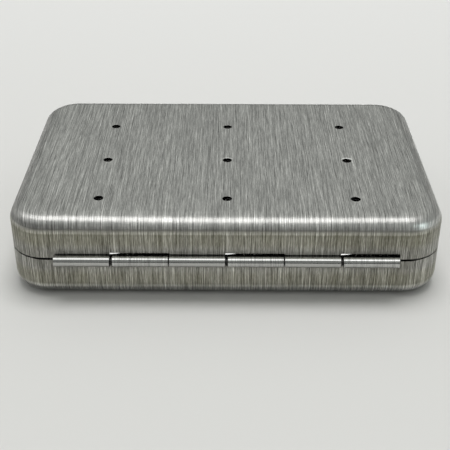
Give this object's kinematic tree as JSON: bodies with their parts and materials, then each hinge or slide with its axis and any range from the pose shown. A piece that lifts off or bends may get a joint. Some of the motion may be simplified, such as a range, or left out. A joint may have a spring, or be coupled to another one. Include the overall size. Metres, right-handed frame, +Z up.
{
  "type": "fly box",
  "caption": "Pocket fly box: two shallow brushed aluminium trays on a knuckle hinge, with a vented lid, spring-row inserts and a front latch.",
  "frame": {"origin": "centre of the base's flat bottom, midway between the end walls and between the front and hinge walls", "axes": "+X along the hinge, +Y towards the hinge (the latch is on the -Y side), +Z up"},
  "size_m": [0.1538, 0.1089, 0.0318],
  "materials": {
    "brushed_shell": "brushed lengthways before drawing, worn",
    "insert_sheet": "mill finish",
    "spring_wire": "bright drawn wire",
    "rivet": "smooth, set",
    "pin": "drawn wire",
    "latch_plate": "plated sheet, worn"
  },
  "bodies": {
    "base": {"base_shell": "brushed_shell", "base_insert": "insert_sheet", "base_insert_rivets": "rivet", "base_spring_1": "spring_wire", "base_spring_2": "spring_wire", "base_spring_3": "spring_wire", "base_spring_4": "spring_wire", "base_spring_5": "spring_wire", "base_spring_6": "spring_wire", "base_spring_7": "spring_wire", "base_spring_8": "spring_wire", "base_spring_9": "spring_wire", "hinge_pin": "pin", "latch_keeper": "latch_plate", "latch_keeper_rivets": "rivet"},
    "lid": {"lid_shell": "brushed_shell", "lid_insert": "insert_sheet", "lid_insert_rivets": "rivet", "lid_spring_1": "spring_wire", "lid_spring_2": "spring_wire", "lid_spring_3": "spring_wire", "lid_spring_4": "spring_wire", "lid_spring_5": "spring_wire", "lid_spring_6": "spring_wire", "lid_spring_7": "spring_wire", "lid_spring_8": "spring_wire", "lid_spring_9": "spring_wire", "latch_bracket": "latch_plate", "latch_bracket_rivets": "rivet", "latch_pin": "pin"},
    "latch": {"latch_tongue": "latch_plate"}
  },
  "joints": [
    {"name": "lid_hinge", "type": "hinge", "parent": "base", "child": "lid", "pos_m": [0, 0.052, 0.01588], "axis": [-1, 0, 0], "range_deg": [0, 180]},
    {"name": "latch_pivot", "type": "hinge", "parent": "lid", "child": "latch", "pos_m": [0, -0.0527, 0.01947], "axis": [-1, 0, 0], "range_deg": [0, 120]}
  ]
}
